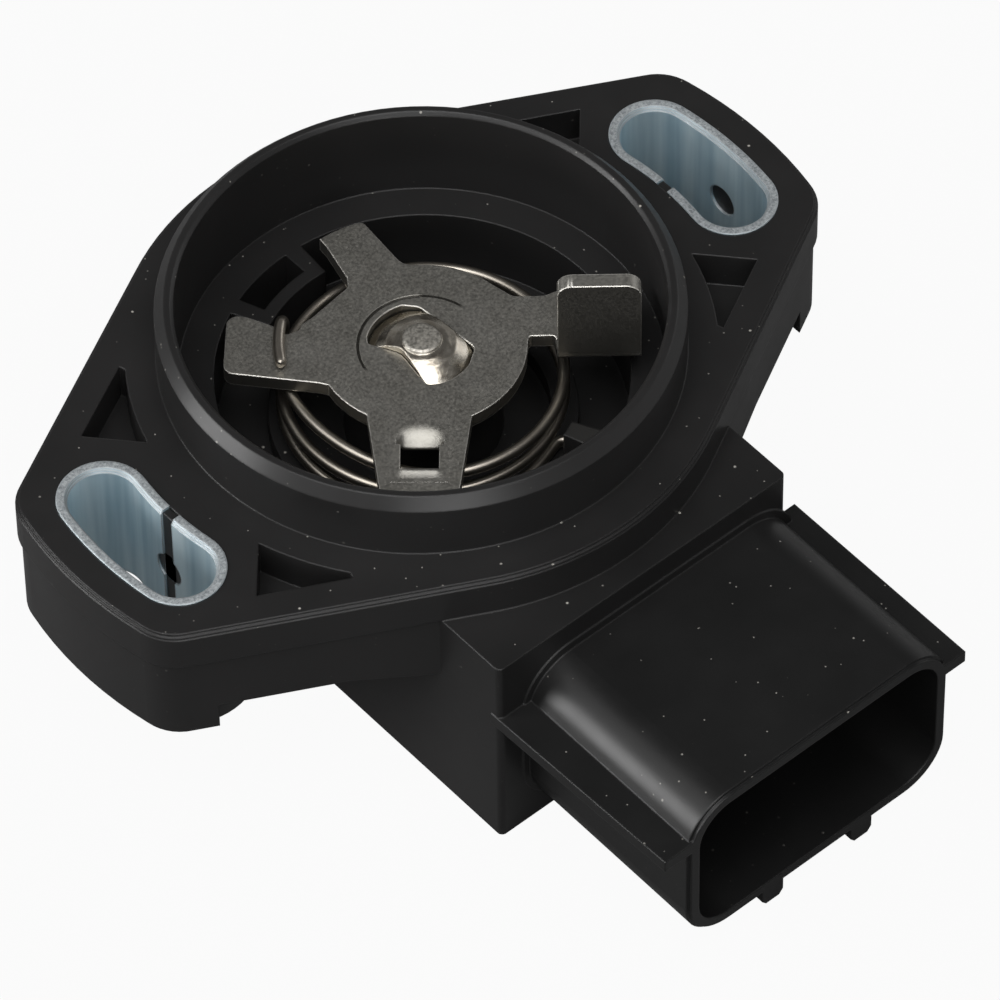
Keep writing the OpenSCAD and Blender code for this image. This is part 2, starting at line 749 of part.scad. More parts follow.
module cover_gasket() {
    color(brown_rubber) difference() {
        translate([-board_half_w, -board_front, cover_top])
            cube([2 * board_half_w, board_front + board_back, gasket_h]);
        translate([-board_half_w + 1.2, -board_front + 1.2, cover_top - cut])
            cube([2 * (board_half_w - 1.2), board_front + board_back - 2.4, gasket_h + 2 * cut]);
    }
}

module back_cover() {
    color(black_plastic) difference() {
        slab(box_bottom, cover_top) box_outline(cover_wall + fit_gap);
        for (y = [-8, 6]) {
            translate([-7.5, y - 4.5, cover_top - 0.8]) cube([15, 9, 1]);
        }
    }
}

// Torsion spring: a leg beside the rib, coils in the well, a hook round the edge of the hook arm.
hook_angle = 131.5;
hook_r = lever_t / 2 + wire_d / 2 + 0.06;
leg_angle = rib_angle + asin((wire_d / 2 + 0.08) / (coil_r + 1.6));
leg_bend = 0.9;
coil_steps = 36;
hook_steps = 8;
tail_steps = 4;
arc_mm = 180 / (PI * coil_r);
coil_sweep = coil_turns * 360 + leg_angle - leg_bend * arc_mm - hook_angle - 1;
coil_drop = 0.2;
// The loaded top coil is drawn in between the hook and the lower arm.
coil_tuck = 0.85;
tuck_start = 250;
tuck_end = 126;
function coil_radius(a) = coil_r
    - coil_tuck * pow(sin(180 * max(0, (tuck_start - a) / (tuck_start - tuck_end))), 2);
spring_low = spring_high - coil_drop - coil_pitch * coil_sweep / 360;
function ring_point(r, a, z) = [r * cos(a), r * sin(a), z];
function coil_z(t) = spring_low + coil_pitch * coil_sweep / 360 * t
    + coil_drop * pow(max(0, (t - 0.88) / 0.12), 2);
function spring_path() = let (n = round(coil_sweep * coil_steps / 360))
    let (mid = (lever_top + lever_bottom) / 2) concat(
        [for (r = [14.6, coil_r + leg_bend + 0.8]) ring_point(r, leg_angle, spring_low)],
        [for (a = [0, 30, 60]) ring_point(coil_r + leg_bend * (1 - sin(a)),
            leg_angle - leg_bend * (1 - cos(a)) * arc_mm, spring_low)],
        [for (i = [0:n]) let (a = hook_angle + 1 + (1 - i / n) * coil_sweep)
            ring_point(coil_radius(a), a, coil_z(i / n))],
        [for (i = [1:hook_steps]) let (a = i * 180 / hook_steps)
            ring_point(coil_r, hook_angle - hook_r * sin(a) * arc_mm, mid - hook_r * cos(a))],
        [for (i = [1:tail_steps]) ring_point(coil_r, hook_angle + 1 + i * 20 / tail_steps, mid + hook_r)]);

function unit(v) = v / norm(v);
function ring_at(p, t, n) = let (out = unit([p[0], p[1], 0]), up = unit(cross(out, t)), side = cross(t, up))
    [for (k = [0:n - 1]) p + (wire_d / 2) * (cos(k * 360 / n) * side + sin(k * 360 / n) * up)];

module wire(path, n) {
    last = len(path) - 1;
    tangents = [for (i = [0:last]) unit(path[min(i + 1, last)] - path[max(i - 1, 0)])];
    points = [for (i = [0:last]) each ring_at(path[i], tangents[i], n)];
    sides = [for (i = [0:last - 1]) for (k = [0:n - 1]) let (m = (k + 1) % n)
        [i * n + k, i * n + m, (i + 1) * n + m, (i + 1) * n + k]];
    start = [for (k = [0:n - 1]) n - 1 - k];
    end = [for (k = [0:n - 1]) last * n + k];
    polyhedron(points = points, faces = concat([start], sides, [end]));
}

module return_spring() {
    color(bright_steel) wire(spring_path(), 8);
}

housing();
bush_left();
bush_right();
lever_plate();
rotor_shaft();
return_spring();
shaft_bearing();
shaft_seal();
thrust_washer();
wave_washer();
retaining_ring();
wiper_carrier();
outer_wiper();
inner_wiper();
resistor_board();
resistor_track();
collector_track();
terminal_left();
terminal_middle();
terminal_right();
contact_clips();
cover_gasket();
back_cover();
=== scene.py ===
import bpy
from math import cos, pi, radians, sin
from mathutils import Matrix, Vector


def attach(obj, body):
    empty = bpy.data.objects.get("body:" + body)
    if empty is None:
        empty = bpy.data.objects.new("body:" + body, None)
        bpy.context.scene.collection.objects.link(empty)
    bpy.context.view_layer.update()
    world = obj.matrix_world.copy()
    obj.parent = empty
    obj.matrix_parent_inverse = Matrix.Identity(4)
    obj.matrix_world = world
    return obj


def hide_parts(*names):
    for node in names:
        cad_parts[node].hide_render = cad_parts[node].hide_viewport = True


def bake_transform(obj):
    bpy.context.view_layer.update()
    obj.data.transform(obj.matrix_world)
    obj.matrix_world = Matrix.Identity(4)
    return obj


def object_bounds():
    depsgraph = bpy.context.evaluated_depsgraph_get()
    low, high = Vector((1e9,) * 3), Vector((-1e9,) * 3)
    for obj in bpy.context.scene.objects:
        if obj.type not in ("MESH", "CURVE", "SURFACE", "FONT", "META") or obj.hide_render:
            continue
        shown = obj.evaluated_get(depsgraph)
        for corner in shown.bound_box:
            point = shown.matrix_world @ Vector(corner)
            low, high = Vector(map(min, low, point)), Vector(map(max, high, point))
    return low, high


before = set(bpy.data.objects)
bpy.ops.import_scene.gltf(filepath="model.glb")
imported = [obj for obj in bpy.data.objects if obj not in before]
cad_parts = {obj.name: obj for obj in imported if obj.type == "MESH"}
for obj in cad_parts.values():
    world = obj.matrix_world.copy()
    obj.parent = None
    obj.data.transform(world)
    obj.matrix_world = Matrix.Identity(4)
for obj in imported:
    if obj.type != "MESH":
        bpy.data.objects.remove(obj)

cad_box = [list(corner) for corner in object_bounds()]


# Camera. A long lens at the photograph's viewing angle: from the front left, about fifty
# degrees down, with the connector towards the viewer.
def millimetres(*values):
    return Vector([v * 0.001 for v in values])


turn, tilt, roll = radians(-40.21), radians(50.54), radians(-0.91)
back = Vector((sin(turn) * cos(tilt), -cos(turn) * cos(tilt), sin(tilt)))
right = Vector((cos(turn), sin(turn), 0))
up = back.cross(right)
right, up = cos(roll) * right + sin(roll) * up, cos(roll) * up - sin(roll) * right
bpy.ops.object.camera_add(location=millimetres(-294.39, -357.55, 543.37))
camera = bpy.context.object
camera.rotation_euler = Matrix((right, up, back)).transposed().to_euler()
camera.data.lens = 323.96
camera.data.sensor_width = 36
camera.data.clip_start = 0.01
camera.data.clip_end = 20
camera.data.dof.use_dof = False
bpy.context.scene.camera = camera


# Studio. A white paper sweep and five soft lamps: low on the left, over the left shoulder,
# overhead, in front and, weakest, on the right. The room is pale at the horizon and dim above,
# so the black plastic stays deep.
def linear(hex_colour):
    parts = [int(hex_colour[i:i + 2], 16) / 255 for i in (1, 3, 5)]
    return [p / 12.92 if p <= 0.04045 else ((p + 0.055) / 1.055) ** 2.4 for p in parts] + [1.0]


def add(tree, kind, sockets=(), **settings):
    node = tree.nodes.new(kind)
    for name, value in settings.items():
        setattr(node, name, value)
    for name, value in dict(sockets).items():
        if isinstance(value, bpy.types.Node):
            value = next(socket for socket in value.outputs if socket.enabled)
        if isinstance(value, bpy.types.NodeSocket):
            tree.links.new(value, node.inputs[name])
        else:
            node.inputs[name].default_value = value
    return node


def new_material(name):
    material = bpy.data.materials.new(name)
    material.use_nodes = True
    material.node_tree.nodes.clear()
    return material, material.node_tree


bpy.context.scene.view_settings.view_transform = "Standard"
world = bpy.data.worlds.new("studio air")
bpy.context.scene.world = world
world.use_nodes = True
tree = world.node_tree
tree.nodes.clear()
path = add(tree, "ShaderNodeLightPath")
direction = add(tree, "ShaderNodeTexCoord").outputs["Generated"]
height = add(tree, "ShaderNodeSeparateXYZ", {0: direction}).outputs["Z"]
ceiling = add(tree, "ShaderNodeMapRange", {
    "Value": height, "From Min": 0.05, "From Max": 0.6, "To Min": 0.55, "To Max": 0.09})
room = add(tree, "ShaderNodeBackground", {"Color": linear("#ffffff"), "Strength": ceiling})
white = add(tree, "ShaderNodeBackground", {"Color": linear("#ffffff"), "Strength": 1.0})
shown = add(tree, "ShaderNodeMixShader", {
    0: path.outputs["Is Camera Ray"], 1: room, 2: white})
add(tree, "ShaderNodeOutputWorld", {"Surface": shown})

bpy.ops.mesh.primitive_plane_add(size=6, location=(0, 0, cad_box[0][2]))
sweep = bpy.context.object
sweep.name = "studio_sweep"
# To the camera the paper is all but white; a twentieth of its diffuse tone is left, which
# keeps the shadow.
white_share = 0.95
material, tree = new_material("white paper sweep")
path = add(tree, "ShaderNodeLightPath")
paper = add(tree, "ShaderNodeBsdfDiffuse", {"Color": linear("#767676"), "Roughness": 1.0})
lit = add(tree, "ShaderNodeEmission", {"Color": linear("#ffffff"), "Strength": 1.0})
share = add(tree, "ShaderNodeMath", {
    0: path.outputs["Is Camera Ray"], 1: white_share}, operation="MULTIPLY")
surface = add(tree, "ShaderNodeMixShader", {0: share, 1: paper, 2: lit})
add(tree, "ShaderNodeOutputMaterial", {"Surface": surface})
sweep.data.materials.append(material)

for name, place, size, power in (
    ("standing softbox", (-0.75, 0.45, 0.22), 0.45, 5.5),
    ("shoulder softbox", (-0.66, 0.12, 0.80), 0.85, 4.0),
    ("overhead softbox", (-0.20, -0.26, 0.95), 0.80, 8.0),
    ("front fill", (-0.45, -0.80, 0.34), 0.50, 3.0),
    ("side softbox", (0.95, -0.05, 0.42), 0.45, 0.7),
):
    bpy.ops.object.light_add(type="AREA", location=place)
    lamp = bpy.context.object
    lamp.name = name
    lamp.data.shape = "SQUARE"
    lamp.data.size = size
    lamp.data.energy = power
    lamp.rotation_euler = Vector(place).to_track_quat("Z", "Y").to_euler()


# Housing. One injection moulding in black glass-filled PBT, the plastic of most engine-bay
# sensors. It leaves the mould satin, with softly rounded edges, and picks up fine light dust.
def dress(node, material):
    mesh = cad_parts[node].data
    mesh.materials.clear()
    mesh.materials.append(material)


# Moulded PBT: a 0.2 mm grain and a slow tone from the melt's flow. Dust lies as grains in cells
# of 1.6 and 0.6 mm, mostly on faces that look up, and hardly in the sheltered socket. Towards
# the front, over the connector, the plastic is painted darker: painted shade.
edge_radius, socket_floor, socket_open = 0.00022, -0.0185, -0.0175
painted_shade_front, painted_shade_back = -0.030, -0.022
material, tree = new_material("moulded black PBT")
where = add(tree, "ShaderNodeTexCoord").outputs["Object"]
rounded = add(tree, "ShaderNodeBevel", {"Radius": edge_radius}, samples=6)
grain = add(tree, "ShaderNodeTexNoise", {
    "Vector": where, "Scale": 5200.0, "Detail": 3.0, "Roughness": 0.6})
flow = add(tree, "ShaderNodeTexNoise", {
    "Vector": where, "Scale": 130.0, "Detail": 4.0, "Roughness": 0.55})
cells = add(tree, "ShaderNodeTexVoronoi", {"Vector": where, "Scale": 620.0, "Randomness": 1.0})
grit = add(tree, "ShaderNodeTexVoronoi", {"Vector": where, "Scale": 1700.0, "Randomness": 1.0})
pick = add(tree, "ShaderNodeSeparateColor", {0: cells.outputs["Color"]})
chosen = add(tree, "ShaderNodeMath", {0: pick.outputs["Red"], 1: 0.72}, operation="GREATER_THAN")
speck = add(tree, "ShaderNodeMapRange", {
    "Value": cells.outputs["Distance"], "From Min": 0.09, "From Max": 0.035})
speck = add(tree, "ShaderNodeMath", {0: speck, 1: chosen}, operation="MULTIPLY")
pick = add(tree, "ShaderNodeSeparateColor", {0: grit.outputs["Color"]})
chosen = add(tree, "ShaderNodeMath", {
    0: pick.outputs["Green"], 1: 0.90}, operation="GREATER_THAN")
fine = add(tree, "ShaderNodeMapRange", {
    "Value": grit.outputs["Distance"], "From Min": 0.16, "From Max": 0.06, "To Max": 0.6})
fine = add(tree, "ShaderNodeMath", {0: fine, 1: chosen}, operation="MULTIPLY")
dust = add(tree, "ShaderNodeMath", {0: speck, 1: fine}, operation="MAXIMUM")
normal = add(tree, "ShaderNodeNewGeometry").outputs["Normal"]
upward = add(tree, "ShaderNodeSeparateXYZ", {0: normal})
upward = add(tree, "ShaderNodeMapRange", {
    "Value": upward.outputs["Z"], "From Min": 0.2, "From Max": 0.9,
    "To Min": 0.15, "To Max": 0.8})
dust = add(tree, "ShaderNodeMath", {0: dust, 1: upward}, operation="MULTIPLY")
place = add(tree, "ShaderNodeSeparateXYZ", {0: where})
sheltered = add(tree, "ShaderNodeMapRange", {
    "Value": place.outputs["Z"], "From Min": socket_floor, "From Max": socket_open,
    "To Min": 0.15})
dust = add(tree, "ShaderNodeMath", {0: dust, 1: sheltered}, operation="MULTIPLY")
# Towards the front, over the connector, the plastic is painted darker: painted shade.
clear_of_painted_shade = add(tree, "ShaderNodeMapRange", {
    "Value": place.outputs["Y"], "From Min": painted_shade_front, "From Max": painted_shade_back})
# The colour sockets of a Mix node share their names with its other ones, so they go by number.
factor, low, high = 0, 6, 7
shade = add(tree, "ShaderNodeMix", {
    factor: flow, low: linear("#101010"), high: linear("#141414")}, data_type="RGBA")
unshaded_tone = add(tree, "ShaderNodeMix", {
    factor: flow, low: linear("#1a1a1a"), high: linear("#1f1e1e")}, data_type="RGBA")
shade = add(tree, "ShaderNodeMix", {factor: clear_of_painted_shade, low: shade, high: unshaded_tone}, data_type="RGBA")
colour = add(tree, "ShaderNodeMix", {
    factor: dust, low: shade, high: linear("#a8a59e")}, data_type="RGBA")
gloss = add(tree, "ShaderNodeMapRange", {
    "Value": flow, "From Min": 0.3, "From Max": 0.7, "To Min": 0.30, "To Max": 0.38})
bump = add(tree, "ShaderNodeBump", {
    "Strength": 0.10, "Distance": 0.00003, "Height": grain, "Normal": rounded})
plastic = add(tree, "ShaderNodeBsdfPrincipled", {
    "Base Color": colour, "Roughness": gloss, "IOR": 1.5, "Specular IOR Level": 0.36,
    "Normal": bump})
add(tree, "ShaderNodeOutputMaterial", {"Surface": plastic})
pbt = material
dress("housing", pbt)
dress("back_cover", pbt)


# Slot bushes. Rolled from zinc-plated strip and moulded in, so that the screws can't crush
# the plastic. The zinc's bluish passivation lies in soft bands down the walls; the sheared rim
# is matt and a little darker at its rounded edge.
wall_edge = 0.00025
float_low, float_high = 2, 3
material, tree = new_material("zinc-plated rolled steel")
where = add(tree, "ShaderNodeTexCoord").outputs["Object"]
rounded = add(tree, "ShaderNodeBevel", {"Radius": wall_edge}, samples=6)
normal = add(tree, "ShaderNodeNewGeometry").outputs["Normal"]
level = add(tree, "ShaderNodeSeparateXYZ", {0: normal}).outputs["Z"]
rim = add(tree, "ShaderNodeMapRange", {"Value": level, "From Min": 0.5, "From Max": 0.9})
match = add(tree, "ShaderNodeVectorMath", {0: rounded, 1: normal}, operation="DOT_PRODUCT")
edge = add(tree, "ShaderNodeMapRange", {
    "Value": match.outputs["Value"], "From Min": 0.99, "From Max": 0.88})
# Rolling draws the marks out along the wall, twenty times as long as wide.
drawn = add(tree, "ShaderNodeMapping", {"Vector": where, "Scale": (1.0, 1.0, 0.05)})
bands = add(tree, "ShaderNodeTexNoise", {
    "Vector": drawn, "Scale": 420.0, "Detail": 3.0, "Roughness": 0.55})
clouds = add(tree, "ShaderNodeTexNoise", {"Vector": where, "Scale": 350.0, "Detail": 3.0})
grit = add(tree, "ShaderNodeTexNoise", {
    "Vector": where, "Scale": 5000.0, "Detail": 3.0, "Roughness": 0.7})
banding = add(tree, "ShaderNodeMapRange", {"Value": bands, "From Min": 0.35, "From Max": 0.65})
walls = add(tree, "ShaderNodeMix", {
    factor: banding, low: linear("#a9c3cf"), high: linear("#dcebf0")}, data_type="RGBA")
shearing = add(tree, "ShaderNodeMapRange", {"Value": grit, "From Min": 0.35, "From Max": 0.65})
rims = add(tree, "ShaderNodeMix", {
    factor: shearing, low: linear("#7b8083"), high: linear("#babfc1")}, data_type="RGBA")
colour = add(tree, "ShaderNodeMix", {factor: rim, low: walls, high: rims}, data_type="RGBA")
colour = add(tree, "ShaderNodeMix", {
    factor: edge, low: colour, high: linear("#a9afb2")}, data_type="RGBA")
satin = add(tree, "ShaderNodeMapRange", {
    "Value": clouds, "From Min": 0.3, "From Max": 0.7, "To Min": 0.42, "To Max": 0.52})
gloss = add(tree, "ShaderNodeMix", {
    factor: rim, float_low: satin, float_high: 0.62}, data_type="FLOAT")
bump = add(tree, "ShaderNodeBump", {
    "Strength": 0.25, "Distance": 0.00003, "Height": grit, "Normal": rounded})
metal = add(tree, "ShaderNodeBsdfPrincipled", {
    "Base Color": colour, "Metallic": 0.75, "Roughness": gloss, "Normal": bump})
add(tree, "ShaderNodeOutputMaterial", {"Surface": metal})
dress("bush_left", material)
dress("bush_right", material)


# Plastic in the bushes. The melt fills the open seam of each bush and its lock holes, and sets a
# little behind the steel's inner wall; the black plugs also stand in as painted shade in these
# openings.
seam_x, seam_z, seam_wide, seam_high = 0.02580, -0.0062, 0.00125, 0.0120
far_x, hole_z, hole_radius, plastic_deep = 0.03262, -0.0065, 0.00143, 0.0007
for side, name in ((-1, "seam_plastic_and_shade_left"), (1, "seam_plastic_and_shade_right")):
    bpy.ops.object.select_all(action="DESELECT")
    bpy.ops.mesh.primitive_cube_add(size=1, location=(side * seam_x, 0, seam_z))
    fill = bpy.context.object
    fill.name = name
    fill.scale = (plastic_deep, seam_wide, seam_high)
    bpy.ops.object.transform_apply(location=True, rotation=True, scale=True)
    plugs = []
    for x in (seam_x, far_x):
        bpy.ops.mesh.primitive_cylinder_add(
            vertices=40, radius=hole_radius, depth=plastic_deep,
            location=(side * x, 0, hole_z), rotation=(0, pi / 2, 0))
        bpy.ops.object.transform_apply(location=True, rotation=True, scale=True)
        plugs.append(bpy.context.object)
    for plug in plugs:
        plug.select_set(True)
    fill.select_set(True)
    bpy.context.view_layer.objects.active = fill
    bpy.ops.object.join()
    # The black plugs are moulded plastic and also stand in as painted shade in the seam and
    # holes.
    fill.data.materials.clear()
    fill.data.materials.append(pbt)
    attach(fill, "body")


# Lever. Pressed from bare sheet steel 1.3 mm thick and tumbled, so its flat faces are a mottled
# satin grey with small dents; its upright faces get painted shade and its edges a painted
# highlight.
# On the lower arm a tongue is pressed down to a pierced opening with a raised lip.
def merged_copy(node, name):
    bpy.ops.object.select_all(action="DESELECT")
    piece = bpy.data.objects.new(name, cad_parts[node].data.copy())
    bpy.context.collection.objects.link(piece)
    piece.data.materials.clear()
    bpy.context.view_layer.objects.active = piece
    piece.select_set(True)
    bpy.ops.object.mode_set(mode="EDIT")
    bpy.ops.mesh.select_all(action="SELECT")
    bpy.ops.mesh.remove_doubles(threshold=0.000002)
    bpy.ops.object.mode_set(mode="OBJECT")
    return piece


# The cut is made a thousand times larger, because it is unreliable on shapes of a few
# millimetres that are given in metres.
def cut_with(piece, cutter, operation):
    for part in (piece, cutter):
        part.data.transform(Matrix.Scale(1000, 4))
    change = piece.modifiers.new("cut", "BOOLEAN")
    change.object = cutter
    change.operation = operation
    change.solver = "EXACT"
    change.use_self = True
    bpy.ops.object.select_all(action="DESELECT")
    bpy.context.view_layer.objects.active = piece
    piece.select_set(True)
    bpy.ops.object.modifier_apply(modifier=change.name)
    piece.data.transform(Matrix.Scale(0.001, 4))
    bpy.data.objects.remove(cutter)


sheet = merged_copy("lever_plate", "lever_sheet")
arm_turn, patch_reach = radians(228.6), 0.0109
cut_long, cut_wide, cut_high, cut_z = 0.0064, 0.0046, 0.0040, -0.0003
sheet_top, sheet_bottom, hair = 0.0003, -0.0010, 0.000002
bpy.ops.object.select_all(action="DESELECT")
bpy.ops.mesh.primitive_cube_add(
    size=1, rotation=(0, 0, arm_turn),
    location=(patch_reach * cos(arm_turn), patch_reach * sin(arm_turn), cut_z))
bpy.context.object.scale = (cut_long, cut_wide, cut_high)
bpy.ops.object.transform_apply(location=True, rotation=True, scale=True)
cut_with(sheet, bpy.context.object, "DIFFERENCE")

# The new patch is a little larger than the cut and a hair thinner, so that no two faces of the
# sheet and the patch coincide when they are joined. Lengths along and across the arm are in mm.
patch_long, patch_wide, patch_middle = 6.5, 4.7, 10.9
half_width, side_slope = 1.95, 0.65
dip_from, dip_bow, dip_to, dip_deep, dip_ends = 8.15, 0.3, 10.05, 0.95, 10.15
lip_from, lip_to, lip_slope, lip_high = 12.85, 13.7, 0.8, 0.25


def from_0_to_1(value):
    return min(1.0, max(0.0, value))


bpy.ops.object.select_all(action="DESELECT")
bpy.ops.mesh.primitive_grid_add(x_subdivisions=32, y_subdivisions=23, size=1)
tongue = bpy.context.object
for vertex in tongue.data.vertices:
    along, across = patch_middle + patch_long * vertex.co.x, patch_wide * vertex.co.y
    fade = from_0_to_1((half_width - abs(across)) / side_slope)
    fade = fade * fade * (3 - 2 * fade)
    start = dip_from + dip_bow * across ** 2
    dip = lip = 0.0
    if along < dip_ends:
        dip = from_0_to_1((along - start) / (dip_to - start)) ** 1.7
    if along > lip_from:
        lip = from_0_to_1((lip_to - along) / lip_slope) ** 1.2
    rise = (lip_high * lip - dip_deep * dip) * fade * 0.001
    vertex.co = (along * 0.001, across * 0.001, sheet_top + hair + rise)
opening_from, opening_to, opening_half = 0.0100, 0.0129, 0.0015
bpy.ops.object.mode_set(mode="EDIT")
bpy.ops.mesh.select_mode(type="FACE")
bpy.ops.mesh.select_all(action="DESELECT")
bpy.ops.object.mode_set(mode="OBJECT")
for face in tongue.data.polygons:
    in_length = opening_from < face.center.x < opening_to
    face.select = in_length and abs(face.center.y) < opening_half
bpy.ops.object.mode_set(mode="EDIT")
bpy.ops.mesh.delete(type="FACE")
bpy.ops.mesh.select_mode(type="VERT")
bpy.ops.object.mode_set(mode="OBJECT")
depth = tongue.modifiers.new("sheet", "SOLIDIFY")
depth.thickness = sheet_top - sheet_bottom
depth.offset = -1
bpy.ops.object.modifier_apply(modifier=depth.name)
for vertex in tongue.data.vertices:
    vertex.co.z = max(vertex.co.z, sheet_bottom + hair)
tongue.data.transform(Matrix.Rotation(arm_turn, 4, "Z"))
cut_with(sheet, tongue, "UNION")
# Only what the press formed is smooth; the flat faces stay flat.
formed_reach, level_normal, upright_normal = 0.0035, 0.9999, 0.25
tongue_middle = Matrix.Rotation(arm_turn, 3, "Z") @ millimetres(patch_middle, 0, 0)
for face in sheet.data.polygons:
    formed = (face.center - tongue_middle).length < formed_reach and face.normal.z < level_normal
    face.use_smooth = formed and abs(face.normal.z) > upright_normal

# Tumbled steel: a 0.24 mm mottle, dents in cells of 1.4 mm, and a groove scored on the far side
# of the shaft, at 5.09 mm from its axis, painted dark as painted shade in the crease.
groove_radius, groove_half, groove_clear = 0.00509, 0.00011, 0.00022
groove_start, groove_full, sheet_edge = 0.0006, 0.0012, 0.00018
material, tree = new_material("tumbled sheet steel")
where = add(tree, "ShaderNodeTexCoord").outputs["Object"]
rounded = add(tree, "ShaderNodeBevel", {"Radius": sheet_edge}, samples=6)
normal = add(tree, "ShaderNodeNewGeometry").outputs["Normal"]
match = add(tree, "ShaderNodeVectorMath", {0: rounded, 1: normal}, operation="DOT_PRODUCT")
flat = add(tree, "ShaderNodeVectorMath", {0: where, 1: (1.0, 1.0, 0.0)}, operation="MULTIPLY")
radius = add(tree, "ShaderNodeVectorMath", {0: flat}, operation="LENGTH").outputs["Value"]
from_groove = add(tree, "ShaderNodeMath", {
    0: radius, 1: groove_radius, 2: groove_clear}, operation="COMPARE")
level = add(tree, "ShaderNodeSeparateXYZ", {0: normal}).outputs["Z"]
behind = add(tree, "ShaderNodeSeparateXYZ", {0: where}).outputs["Y"]
mark = add(tree, "ShaderNodeMapRange", {
    "Value": behind, "From Min": groove_start, "From Max": groove_full})
mark = add(tree, "ShaderNodeMath", {0: mark, 1: from_groove}, operation="MULTIPLY")
clear = add(tree, "ShaderNodeMath", {0: 1.0, 1: mark}, operation="SUBTRACT")
edge = add(tree, "ShaderNodeMapRange", {
    "Value": match.outputs["Value"], "From Min": 0.992, "From Max": 0.88})
edge = add(tree, "ShaderNodeMath", {0: edge, 1: clear}, operation="MULTIPLY")
mottle = add(tree, "ShaderNodeTexNoise", {
    "Vector": where, "Scale": 4200.0, "Detail": 3.0, "Roughness": 0.65})
clouds = add(tree, "ShaderNodeTexNoise", {
    "Vector": where, "Scale": 300.0, "Detail": 4.0, "Roughness": 0.6})
dents = add(tree, "ShaderNodeTexVoronoi", {"Vector": where, "Scale": 700.0, "Randomness": 1.0})
dots = add(tree, "ShaderNodeMapRange", {
    "Value": dents.outputs["Distance"], "From Min": 0.09, "From Max": 0.04, "To Max": 0.5})
tone = add(tree, "ShaderNodeMapRange", {"Value": clouds, "From Min": 0.3, "From Max": 0.7})
colour = add(tree, "ShaderNodeMix", {
    factor: tone, low: linear("#807e78"), high: linear("#979590")}, data_type="RGBA")
spots = add(tree, "ShaderNodeMapRange", {
    "Value": mottle, "From Min": 0.3, "From Max": 0.7, "To Max": 0.5})
colour = add(tree, "ShaderNodeMix", {
    factor: spots, low: colour, high: linear("#adaaa2")}, data_type="RGBA")
colour = add(tree, "ShaderNodeMix", {
    factor: dots, low: colour, high: linear("#cfccc4")}, data_type="RGBA")
# Upright faces, the tab face among them, are painted darker: painted shade.
lying = add(tree, "ShaderNodeMapRange", {"Value": level, "From Min": 0.1, "From Max": 0.5})
colour = add(tree, "ShaderNodeMix", {
    factor: lying, low: linear("#7b7973"), high: colour}, data_type="RGBA")
# The rounded edges are painted near-white: a painted highlight.
colour = add(tree, "ShaderNodeMix", {
    factor: edge, low: colour, high: linear("#ece9e2")}, data_type="RGBA")
# The groove is painted dark: painted shade in the crease.
painted_groove_shade = add(tree, "ShaderNodeMath", {
    0: radius, 1: groove_radius, 2: groove_half}, operation="COMPARE")
painted_groove_shade = add(tree, "ShaderNodeMath", {0: painted_groove_shade, 1: mark}, operation="MULTIPLY")
colour = add(tree, "ShaderNodeMix", {
    factor: painted_groove_shade, low: colour, high: linear("#4a4844")}, data_type="RGBA")
gloss = add(tree, "ShaderNodeMapRange", {
    "Value": mottle, "From Min": 0.3, "From Max": 0.7, "To Min": 0.38, "To Max": 0.52})
bump = add(tree, "ShaderNodeBump", {
    "Strength": 0.4, "Distance": 0.00003, "Height": mottle, "Normal": rounded})
metal = add(tree, "ShaderNodeBsdfPrincipled", {
    "Base Color": colour, "Metallic": 1.0, "Roughness": gloss, "Normal": bump})
add(tree, "ShaderNodeOutputMaterial", {"Surface": metal})
sheet.data.materials.append(material)
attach(sheet, "rotor")
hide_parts("lever_plate")


# Rotor shaft. Turned steel, its head spun over to hold the lever, so the head is polished
# and only the small flat that the spinning tool left in its middle is matt.
flat_radius, flat_fade, head_edge = 0.0015, 0.00165, 0.00022
material, tree = new_material("polished turned steel")
where = add(tree, "ShaderNodeTexCoord").outputs["Object"]
rounded = add(tree, "ShaderNodeBevel", {"Radius": head_edge}, samples=6)
flat = add(tree, "ShaderNodeVectorMath", {0: where, 1: (1.0, 1.0, 0.0)}, operation="MULTIPLY")
radius = add(tree, "ShaderNodeVectorMath", {0: flat}, operation="LENGTH").outputs["Value"]
middle = add(tree, "ShaderNodeMapRange", {
    "Value": radius, "From Min": flat_fade, "From Max": flat_radius})
clouds = add(tree, "ShaderNodeTexNoise", {"Vector": where, "Scale": 900.0, "Detail": 4.0})
grit = add(tree, "ShaderNodeTexNoise", {"Vector": where, "Scale": 4200.0, "Detail": 3.0})
tone = add(tree, "ShaderNodeMapRange", {"Value": clouds, "From Min": 0.3, "From Max": 0.7})
colour = add(tree, "ShaderNodeMix", {
    factor: tone, low: linear("#a49b8d"), high: linear("#d6d0c4")}, data_type="RGBA")
spots = add(tree, "ShaderNodeMapRange", {"Value": grit, "From Min": 0.35, "From Max": 0.65})
matt = add(tree, "ShaderNodeMix", {
    factor: spots, low: linear("#86837d"), high: linear("#c6c2b9")}, data_type="RGBA")
colour = add(tree, "ShaderNodeMix", {factor: middle, low: colour, high: matt}, data_type="RGBA")
polish = add(tree, "ShaderNodeMapRange", {
    "Value": clouds, "From Min": 0.3, "From Max": 0.7, "To Min": 0.16, "To Max": 0.28})
gloss = add(tree, "ShaderNodeMix", {
    factor: middle, float_low: polish, float_high: 0.5}, data_type="FLOAT")
bump = add(tree, "ShaderNodeBump", {
    "Strength": 0.3, "Distance": 0.00003, "Height": grit, "Normal": rounded})
metal = add(tree, "ShaderNodeBsdfPrincipled", {
    "Base Color": colour, "Metallic": 1.0, "Roughness": gloss, "Normal": bump})
add(tree, "ShaderNodeOutputMaterial", {"Surface": metal})
for node in ("rotor_shaft", "retaining_ring", "wave_washer"):
    dress(node, material)
